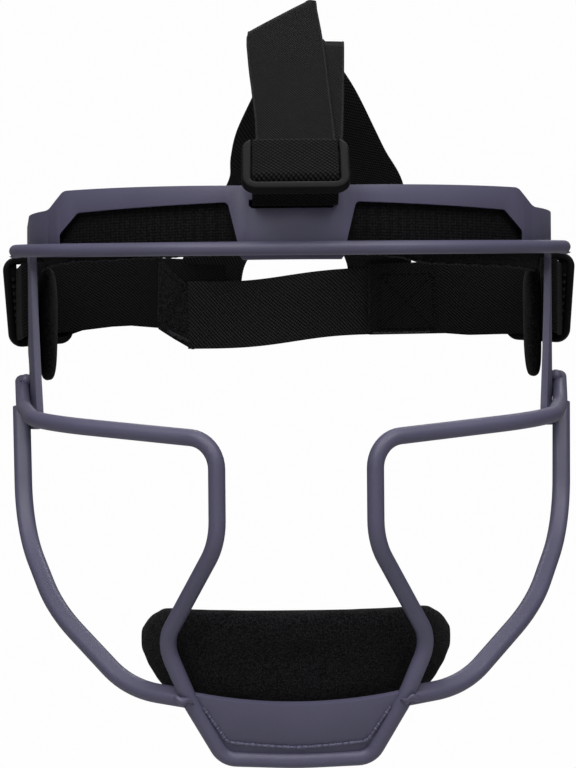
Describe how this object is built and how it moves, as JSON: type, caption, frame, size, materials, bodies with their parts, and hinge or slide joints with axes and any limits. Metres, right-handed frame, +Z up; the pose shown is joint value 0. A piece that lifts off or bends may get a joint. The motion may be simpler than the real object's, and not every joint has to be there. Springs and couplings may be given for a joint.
{
  "type": "softball fielder's face guard",
  "caption": "Welded steel wire face guard with a brow plate, padded brow, temples and chin, and an elastic head harness with slide adjusters.",
  "frame": {"origin": "middle of the forehead pad's inner face, where the wearer's brow rests", "axes": "+Z up the wearer's head, +Y from the pad into the head towards the back, +X on the right in a view from the front"},
  "size_m": [0.2064, 0.1982, 0.238],
  "materials": {
    "powder_coated_steel": "satin, fine orange peel",
    "hook_tape": "matt",
    "brushed_foam_pad": "matt, brushed",
    "elastic_webbing": "matt, ribbed",
    "moulded_plastic": "satin"
  },
  "bodies": {
    "frame": {"forehead_plate": "powder_coated_steel", "brow_wire": "powder_coated_steel", "face_wire": "powder_coated_steel", "jaw_bar_left": "powder_coated_steel", "jaw_bar_right": "powder_coated_steel", "chin_plate": "powder_coated_steel", "brow_welds": "powder_coated_steel", "temple_welds": "powder_coated_steel", "jaw_welds": "powder_coated_steel", "chin_weld": "powder_coated_steel", "forehead_hook_strip_left": "hook_tape", "forehead_hook_strip_right": "hook_tape", "temple_hook_patch_left": "hook_tape", "temple_hook_patch_right": "hook_tape", "chin_hook_patch": "hook_tape", "crown_strap": "elastic_webbing", "side_strap_left": "elastic_webbing", "side_strap_right": "elastic_webbing"},
    "harness": {"crown_yoke": "elastic_webbing", "rear_strap": "elastic_webbing"},
    "crown_slider": {"crown_adjuster": "moulded_plastic"},
    "side_slider_left": {"side_adjuster_left": "moulded_plastic"},
    "side_slider_right": {"side_adjuster_right": "moulded_plastic"},
    "forehead_cushion": {"forehead_pad": "brushed_foam_pad"},
    "chin_cushion": {"chin_pad": "brushed_foam_pad"},
    "temple_cushion_left": {"temple_pad_left": "brushed_foam_pad"},
    "temple_cushion_right": {"temple_pad_right": "brushed_foam_pad"}
  },
  "joints": [
    {"name": "harness_stretch", "type": "slide", "parent": "frame", "child": "harness", "axis": [0, 1, 0], "range_m": [0, 0.03], "stiffness_N_per_m": 500, "deforming": ["crown_strap", "side_strap_left", "side_strap_right"]},
    {"name": "crown_adjust", "type": "slide", "parent": "frame", "child": "crown_slider", "axis": [0, 0.7668, 0.6419], "range_m": [0, 0.03], "deforming": ["crown_strap"]},
    {"name": "side_adjust_left", "type": "slide", "parent": "frame", "child": "side_slider_left", "axis": [0.9203, 0.3912, 0], "range_m": [0, 0.018], "deforming": ["side_strap_left"]},
    {"name": "side_adjust_right", "type": "slide", "parent": "frame", "child": "side_slider_right", "axis": [-0.9203, 0.3912, 0], "range_m": [0, 0.018], "deforming": ["side_strap_right"]},
    {"name": "forehead_pad_off", "type": "slide", "parent": "frame", "child": "forehead_cushion", "axis": [0, 1, 0], "range_m": [0, 0.025]},
    {"name": "chin_pad_off", "type": "slide", "parent": "frame", "child": "chin_cushion", "axis": [0, 1, 0], "range_m": [0, 0.025]},
    {"name": "temple_pad_left_off", "type": "slide", "parent": "frame", "child": "temple_cushion_left", "axis": [0.9903, 0.1392, 0], "range_m": [0, 0.015]},
    {"name": "temple_pad_right_off", "type": "slide", "parent": "frame", "child": "temple_cushion_right", "axis": [-0.9903, 0.1392, 0], "range_m": [0, 0.015]}
  ]
}
